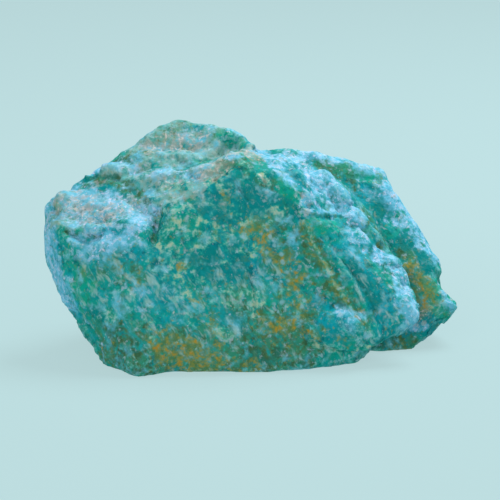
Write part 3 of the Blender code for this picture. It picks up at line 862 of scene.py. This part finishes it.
    def worked(self, stone: bpy.types.Object, skin: Skin) -> None:
        """Carry the relief out, keeping the resting face flat and the stone inside the solid's box.

        Args:
            stone: the refined stone.
            skin: its skin.
        """
        above = eased(skin.points[:, 2] / self.seat)
        low, high = (np.array(corner) / MM for corner in CAD_BOX)
        room = np.minimum(skin.points - low, high - skin.points)[:, :2].min(axis=1)
        relief = self.relief(skin) + self.swell * eased(room / self.swell_fade)
        moved = np.clip(skin.points + skin.facing * (relief * above)[:, None], low, high)
        stone.data.vertices.foreach_set("co", (moved * MM).ravel())
        stone.data.update()
        stone.data.shade_smooth()

    def bends(self, mesh: bpy.types.Mesh, skin: Skin) -> Array:
        """How far every point stands out from its surroundings: ridges above nothing, hollows below.

        Args:
            mesh: the worked mesh.
            skin: its skin, read after the work.

        Returns:
            The height over the surroundings, in millimetres.
        """
        ends = np.empty(len(mesh.edges) * 2, dtype=int)
        mesh.edges.foreach_get("vertices", ends)
        first, second = ends.reshape(-1, 2).T
        count = np.bincount(ends, minlength=len(skin.points))
        level = skin.points.copy()
        for _ in range(self.levelling):
            total = [
                np.bincount(first, along[second], len(level)) + np.bincount(second, along[first], len(level))
                for along in level.T
            ]
            level = np.stack(total, axis=1) / count[:, None]
        return np.einsum("ij,ij->i", skin.points - level, skin.facing)

    def masks(self, mesh: bpy.types.Mesh, skin: Skin) -> dict[Mask, Array]:
        """Work out every mask: the patches of the photograph, and clouds where it sees nothing.

        Args:
            mesh: the worked mesh.
            skin: its skin, read after the work.

        Returns:
            For each mask its value at every point, from nothing to one.
        """
        unseen = self.hidden(skin)
        skyward = eased((skin.facing[:, 2] - self.sky_band[0]) / self.sky_band[1])
        values = {}
        for number, (mask, (size, level, gain)) in enumerate(WILD.items()):
            spots = cloud(skin.points, size, (number * self.wild_step, 1.7, 6.1))
            wild = np.clip((spots - level) * gain, 0.0, 1.0)
            values[mask] = wild * (self.wild + (1.0 - self.wild) * unseen)
        for mask, patches in PATCHES.items():
            for patch in patches:
                values[mask] = values[mask] + patch.weight(skin)
        # Painted skylight: the faces that look upward get paler blue.
        values[Mask.BLOOM_AND_SKYLIGHT] = values[Mask.BLOOM_AND_SKYLIGHT] + self.painted_skylight * skyward
        bends = self.bends(mesh, skin)
        values[Mask.WORN] = bends / self.bend
        # Painted shade: hollows are darkened by how far they sink below their surroundings.
        values[Mask.HOLLOW_SHADE] = -bends / self.bend
        return {mask: np.clip(value, 0.0, 1.0) for mask, value in values.items()}

    def build(self, finish: "RawAmazonite") -> bpy.types.Object:
        """Make the stone, work it, lay its masks down and dress it.

        Args:
            finish: what the stone's surface is made of.

        Returns:
            The finished piece.
        """
        stone = self.copied()
        solid = self.solid()
        self.worked(stone, self.skin(stone.data, solid))
        skin = self.skin(stone.data, solid)
        for mask, values in self.masks(stone.data, skin).items():
            layer = stone.data.attributes.new(mask.value, "FLOAT", "POINT")
            layer.data.foreach_set("value", values)
        stone.data.materials.clear()
        stone.data.materials.append(finish.material())
        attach(stone, "root")
        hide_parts(STONE)
        return stone


class Grain(Enum):
    """Which way a colour's pattern runs."""

    EVEN = "even"
    LAMELLAE = "lamellae"
    CRYSTALS = "crystals"


@dataclass(frozen=True)
class Layer:
    """One colour, laid over those before it where its noise and its mask together pass a threshold.

    Attributes:
        shade: the colour, as sRGB hex.
        mask: the mask that raises the noise, or None where the colour comes all over.
        size: width of the colour's spots, in millimetres.
        lift: how far a full mask raises the noise.
        start: where the colour begins to show.
        full: where it has its full strength.
        strength: how much of what lies below it then covers.
        grain: which way the pattern runs.
        detail: how many times the noise is broken up again.
    """

    shade: str
    mask: Mask | None
    size: float
    lift: float
    start: float
    full: float
    strength: float
    grain: Grain = Grain.EVEN
    detail: float = 3.0


@dataclass(frozen=True)
class RawAmazonite:
    """Potassium feldspar coloured green-blue by traces of lead, broken by hand and never polished.

    The break is dull to faintly glassy, a little light enters it, and pale albite runs through it in
    lamellae about a millimetre wide. That gives the eye a deep body colour under pale streaks and specks.
    The real grain of the break is finer than a tenth of a millimetre. It is drawn half a millimetre coarse,
    because anything finer wouldn't show in a picture of 500 pixels. Sizes are millimetres.

    Attributes:
        body, body_green: the body's two colours, as sRGB hex.
        body_size, body_band: width of the places of either, and the stretch of noise between them.
        ior, shine: how strongly feldspar bends light, and how much the dull break reflects.
        gloss, gloss_band: roughness of the glassiest and the dullest grain, and their noise.
        translucence: how much light enters the stone.
        bleed, bleed_depth: how far it goes in red, green and blue, as shares of the depth.
        grain_size, grain_height, grain_strength: the grain's width, height and hold on the light.
        sway_size, sways: width of the turns in the pattern, and their reach for spots and lines.
        lamella_length, lamella_depth, lamella_fall: a streak's sizes in widths, and its fall.
        breakup: how ragged the edge of every spot is.
        layers: the colours laid over the body, in order.
    """

    body: str = "#008a90"
    body_green: str = "#069180"
    body_size: float = 7.0
    body_band: tuple[float, float] = (0.38, 0.62)
    ior: float = 1.53
    gloss: tuple[float, float] = (0.42, 0.66)
    gloss_band: tuple[float, float] = (0.3, 0.7)
    shine: float = 0.05
    translucence: float = 0.04
    bleed: tuple[float, float, float] = (0.5, 1.0, 0.9)
    bleed_depth: float = 0.8
    grain_size: float = 0.5
    grain_height: float = 0.20
    grain_strength: float = 0.70
    sway_size: float = 3.0
    sways: tuple[float, float] = (0.9, 1.9)
    lamella_length: float = 2.6
    lamella_depth: float = 3.0
    lamella_fall: float = math.radians(60.0)
    breakup: float = 0.6
    layers: tuple[Layer, ...] = (
        # The body: bluer and greener places, a soft mottle, then the deep places.
        Layer("#0598ab", Mask.BLUE, 3.0, 0.22, 0.50, 0.76, 0.80),
        Layer("#04a4b8", Mask.BLUE, 1.7, 0.18, 0.60, 0.84, 0.60),
        Layer("#079f86", Mask.GREEN, 2.4, 0.28, 0.54, 0.78, 0.85),
        Layer("#00a29c", None, 2.3, 0.0, 0.47, 0.70, 0.50, detail=6.0),
        Layer("#01585c", None, 1.5, 0.0, 0.50, 0.68, 0.70, detail=4.0),
        Layer("#08ae9e", None, 1.3, 0.0, 0.55, 0.74, 0.55, detail=2.0),
        Layer("#007e80", Mask.DEEP, 2.4, 0.34, 0.56, 0.78, 0.90),
        # Chalky weathering on the old surfaces of the top.
        Layer("#8ab3aa", Mask.CHALK, 2.6, 0.24, 0.50, 0.78, 0.80, detail=5.0),
        Layer("#bcc3bd", Mask.CHALK, 1.1, 0.16, 0.60, 0.80, 0.60),
        # Iron washed into the surface, and painted shade along the foot and in the valley behind the shelf.
        Layer("#3c8562", Mask.OLIVE_AND_SHADE, 2.2, 0.24, 0.55, 0.80, 0.75),
        Layer("#566433", Mask.OLIVE_AND_SHADE, 1.0, 0.22, 0.63, 0.86, 0.72),
        Layer("#24583f", Mask.OLIVE_AND_SHADE, 2.0, 0.20, 0.66, 0.82, 0.65),
        # Albite lamellae, coarse and fine.
        Layer("#16a0a6", Mask.STREAK, 1.50, 0.12, 0.54, 0.78, 0.65, Grain.LAMELLAE, 2.0),
        Layer("#9fc1bd", Mask.STREAK, 1.05, 0.14, 0.60, 0.82, 0.75, Grain.LAMELLAE, 2.0),
        # Cream blotches of albite, palest and at times rusty in their middles; the same colours paint the
        # highlights along the front's ridge and at the glint over the smooth band.
        Layer("#2eae9a", Mask.CREAM_AND_HIGHLIGHT, 1.3, 0.22, 0.60, 0.78, 0.65, detail=2.0),
        Layer("#a8c2ac", Mask.CREAM_AND_HIGHLIGHT, 1.3, 0.22, 0.69, 0.86, 0.75, detail=2.0),
        Layer("#c8bb88", Mask.CREAM_AND_HIGHLIGHT, 1.3, 0.22, 0.79, 0.92, 0.42, detail=2.0),
        # Weathered bloom, pale blue and then lilac-white crumbs, which also paints skylight on the upward
        # faces and highlights on the lit rims and bright edges.
        Layer("#64bbdb", Mask.BLOOM_AND_SKYLIGHT, 2.6, 0.22, 0.52, 0.80, 0.75),
        Layer("#a0d2f2", Mask.BLOOM_AND_SKYLIGHT, 1.2, 0.17, 0.58, 0.80, 0.70),
        Layer("#dcd8f4", Mask.BLOOM_AND_SKYLIGHT, 0.75, 0.13, 0.66, 0.82, 0.65),
        # Feldspar so pure that few pale specks show in it, green and deep blue-green.
        Layer("#009b7e", Mask.GREEN, 2.0, 0.34, 0.80, 0.96, 0.60, detail=5.0),
        Layer("#008486", Mask.DEEP, 2.0, 0.34, 0.74, 0.94, 0.75, detail=5.0),
        # Sandy crumbs.
        Layer("#a39a86", Mask.SAND, 1.2, 0.18, 0.57, 0.82, 0.65),
        Layer("#e4d0c8", Mask.SAND, 0.8, 0.15, 0.66, 0.84, 0.70),
        # Rust: a thin wash, mustard specks with ochre middles, and the pale crystals that stand between them.
        Layer("#64854c", Mask.OCHRE, 2.0, 0.22, 0.57, 0.84, 0.60),
        Layer("#98903f", Mask.OCHRE, 0.9, 0.16, 0.59, 0.78, 0.65, detail=4.0),
        Layer("#bb8420", Mask.OCHRE, 0.9, 0.16, 0.72, 0.86, 0.75, detail=4.0),
        Layer("#86b8c1", Mask.SUGAR, 1.6, 0.38, 1.04, 1.25, 0.75, Grain.CRYSTALS),
        # Fine dark grain over everything, paler crushed edges, and painted shade darkening the hollows.
        Layer("#0d6a6c", None, 0.55, 0.0, 0.57, 0.76, 0.45),
        Layer("#8fcfca", Mask.WORN, 0.6, 0.30, 0.72, 1.00, 0.40),
        Layer("#1c5a4c", Mask.HOLLOW_SHADE, 0.7, 0.30, 0.70, 1.00, 0.55),
    )

    def laid(self, tree: bpy.types.NodeTree, below: bpy.types.NodeSocket, layer: Layer,
             grains: dict[Grain, bpy.types.NodeSocket]) -> bpy.types.NodeSocket:
        """Lay one colour over those before it.

        Args:
            tree: the material's node tree.
            below: the colour so far.
            layer: the colour to lay down.
            grains: for each way a pattern runs, the coordinates that run so.

        Returns:
            The colour after it.
        """
        unit = layer.size if layer.grain is Grain.LAMELLAE else layer.size * MM
        wires = {"Vector": grains[layer.grain], "Scale": 1.0 / unit}
        if layer.grain is Grain.CRYSTALS:
            middle = add(tree, "ShaderNodeTexVoronoi", wires).outputs["Distance"]
            value = add(tree, "ShaderNodeMath", {0: 1.0, 1: middle}, operation="SUBTRACT").outputs[0]
        else:
            wires |= {"Detail": layer.detail, "Roughness": self.breakup}
            value = add(tree, "ShaderNodeTexNoise", wires).outputs["Fac"]
        if layer.mask is not None:
            mask = add(tree, "ShaderNodeAttribute", attribute_name=layer.mask.value).outputs["Fac"]
            raised = {0: mask, 1: layer.lift, 2: value}
            value = add(tree, "ShaderNodeMath", raised, operation="MULTIPLY_ADD").outputs[0]
        reach = {"Value": value, "From Min": layer.start, "From Max": layer.full, "To Max": layer.strength}
        cover = add(tree, "ShaderNodeMapRange", reach, interpolation_type="SMOOTHSTEP").outputs[0]
        mixed = add(tree, "ShaderNodeMix", {0: cover, 6: below, 7: linear(layer.shade)}, data_type="RGBA")
        return mixed.outputs[2]

    def material(self) -> bpy.types.Material:
        """Put the finish together from its layers.

        Returns:
            The material.
        """
        material = bpy.data.materials.new("amazonite_raw_broken")
        material.use_nodes = True
        tree = material.node_tree
        tree.nodes.clear()
        place = add(tree, "ShaderNodeTexCoord").outputs["Object"]
        turns = {"Vector": place, "Scale": 1.0 / (self.sway_size * MM), "Detail": 3.0}
        sway = add(tree, "ShaderNodeTexNoise", turns)
        bent, waved = (
            add(tree, "ShaderNodeVectorMath", {0: sway.outputs["Color"], 1: (reach * MM,) * 3, 2: place},
                operation="MULTIPLY_ADD").outputs[0]
            for reach in self.sways
        )
        stretch = (self.lamella_length * MM, self.lamella_depth * MM, MM)
        turned = {"Vector": waved, "Rotation": (0.0, self.lamella_fall, 0.0), "Scale": stretch}
        lamellae = add(tree, "ShaderNodeMapping", turned, vector_type="TEXTURE").outputs[0]
        grains = {Grain.EVEN: bent, Grain.LAMELLAE: lamellae, Grain.CRYSTALS: waved}
        broad = {"Vector": place, "Scale": 1.0 / (self.body_size * MM), "Detail": 2.0}
        tone = add(tree, "ShaderNodeTexNoise", broad).outputs["Fac"]
        sharp = {"Value": tone, "From Min": self.body_band[0], "From Max": self.body_band[1]}
        share = add(tree, "ShaderNodeMapRange", sharp, interpolation_type="SMOOTHSTEP").outputs[0]
        ends = {0: share, 6: linear(self.body), 7: linear(self.body_green)}
        colour = add(tree, "ShaderNodeMix", ends, data_type="RGBA").outputs[2]
        for layer in self.layers:
            colour = self.laid(tree, colour, layer, grains)
        grain = {"Vector": place, "Scale": 1.0 / (self.grain_size * MM), "Detail": 4.0}
        height = add(tree, "ShaderNodeTexNoise", grain).outputs["Fac"]
        dull = {"Value": height, "From Min": self.gloss_band[0], "From Max": self.gloss_band[1]}
        dull |= {"To Min": self.gloss[0], "To Max": self.gloss[1]}
        rough = add(tree, "ShaderNodeMapRange", dull).outputs[0]
        raised = {"Height": height, "Strength": self.grain_strength, "Distance": self.grain_height * MM}
        bump = add(tree, "ShaderNodeBump", raised).outputs[0]
        surface = {"Base Color": colour, "Roughness": rough, "Normal": bump, "IOR": self.ior}
        surface |= {"Subsurface Weight": self.translucence, "Subsurface Radius": self.bleed}
        surface |= {"Subsurface Scale": self.bleed_depth * MM, "Specular IOR Level": self.shine}
        shader = add(tree, "ShaderNodeBsdfPrincipled", surface)
        add(tree, "ShaderNodeOutputMaterial", {"Surface": shader.outputs[0]})
        return material


@dataclass(frozen=True)
class LitAcrylic:
    """A sheet of matt pale acrylic, lit from behind, which keeps the ground even and shadows faint."""

    shade: str = "#c1dee0"
    sheet: str = "#4f6061"
    glow: float = 0.79
    roughness: float = 0.9

    def material(self) -> bpy.types.Material:
        """Put the floor's finish together.

        Returns:
            The material.
        """
        material = bpy.data.materials.new("acrylic_matt_lit")
        material.use_nodes = True
        shader = material.node_tree.nodes["Principled BSDF"]
        shader.inputs["Base Color"].default_value = linear(self.sheet)
        shader.inputs["Roughness"].default_value = self.roughness
        shader.inputs["Specular IOR Level"].default_value = 0.0
        shader.inputs["Emission Color"].default_value = linear(self.shade)
        shader.inputs["Emission Strength"].default_value = self.glow
        return material


@dataclass(frozen=True)
class StudioFloor:
    """The plain round floor under the stone."""

    radius: float = 3000.0
    sides: int = 96

    def build(self, finish: LitAcrylic) -> bpy.types.Object:
        """Make the floor.

        Args:
            finish: what it is made of.

        Returns:
            The floor.
        """
        disc = bmesh.new()
        bmesh.ops.create_circle(disc, cap_ends=True, segments=self.sides, radius=self.radius * MM)
        mesh = bpy.data.meshes.new("studio_floor")
        disc.to_mesh(mesh)
        disc.free()
        floor = bpy.data.objects.new("studio_floor", mesh)
        bpy.context.scene.collection.objects.link(floor)
        mesh.materials.append(finish.material())
        return floor


@dataclass(frozen=True)
class SoftBox:
    """One soft lamp: where it hangs and its width in millimetres, its power in watts and its colour."""

    name: str
    place: tuple[float, float, float]
    width: float
    power: float
    shade: str

    def build(self, aim: Vector) -> bpy.types.Object:
        """Hang the lamp.

        Args:
            aim: what it points at, in millimetres.

        Returns:
            The lamp.
        """
        light = bpy.data.lights.new(self.name, "AREA")
        light.shape = "DISK"
        light.size = self.width * MM
        light.energy = self.power
        light.color = linear(self.shade)[:3]
        lamp = bpy.data.objects.new(self.name, light)
        bpy.context.scene.collection.objects.link(lamp)
        lamp.location = Vector(self.place) * MM
        lamp.rotation_mode = "QUATERNION"
        lamp.rotation_quaternion = (aim - Vector(self.place)).to_track_quat("-Z", "Y")
        return lamp


@dataclass(frozen=True)
class Studio:
    """The light round the stone and the camera that looks at it."""

    view: Viewpoint
    air: str = "#cfe6ea"
    air_strength: float = 0.60
    lamps: tuple[SoftBox, ...] = (
        SoftBox("key_light", (160.0, 160.0, 380.0), 260.0, 2.00, "#f6fbff"),
        SoftBox("front_light", (-160.0, -420.0, 240.0), 320.0, 0.83, "#fff9f0"),
    )

    def light(self) -> None:
        """Hang the lamps and fill the air with soft light."""
        for lamp in self.lamps:
            lamp.build(Vector(self.view.target))
        world = bpy.data.worlds.new("soft_air")
        world.use_nodes = True
        air = world.node_tree.nodes["Background"]
        air.inputs["Color"].default_value = linear(self.air)
        air.inputs["Strength"].default_value = self.air_strength
        bpy.context.scene.world = world

    def camera(self) -> bpy.types.Object:
        """Stand the camera where the photograph was taken from.

        Returns:
            The camera.
        """
        lens = bpy.data.cameras.new("camera")
        lens.sensor_width = self.view.sensor
        lens.lens = self.view.lens()
        camera = bpy.data.objects.new("camera", lens)
        bpy.context.scene.collection.objects.link(camera)
        camera.location = self.view.eye() * MM
        camera.rotation_mode = "QUATERNION"
        camera.rotation_quaternion = (-self.view.back()).to_track_quat("-Z", "Y")
        bpy.context.scene.camera = camera
        return camera


def main() -> None:
    """Build the stone and its studio."""
    logging.basicConfig(level=logging.INFO, format="%(message)s")
    scene = bpy.context.scene
    scene.view_settings.view_transform = "Standard"
    view = Viewpoint()
    studio = Studio(view)
    studio.light()
    log.info("camera: lens %.1f mm", studio.camera().data.lens)
    floor = StudioFloor().build(LitAcrylic())
    log.info("%s: %d faces", floor.name, len(floor.data.polygons))
    stone = RawStone(view).build(RawAmazonite())
    log.info("%s: %d faces", stone.name, len(stone.data.polygons))


if __name__ == "__main__":
    main()
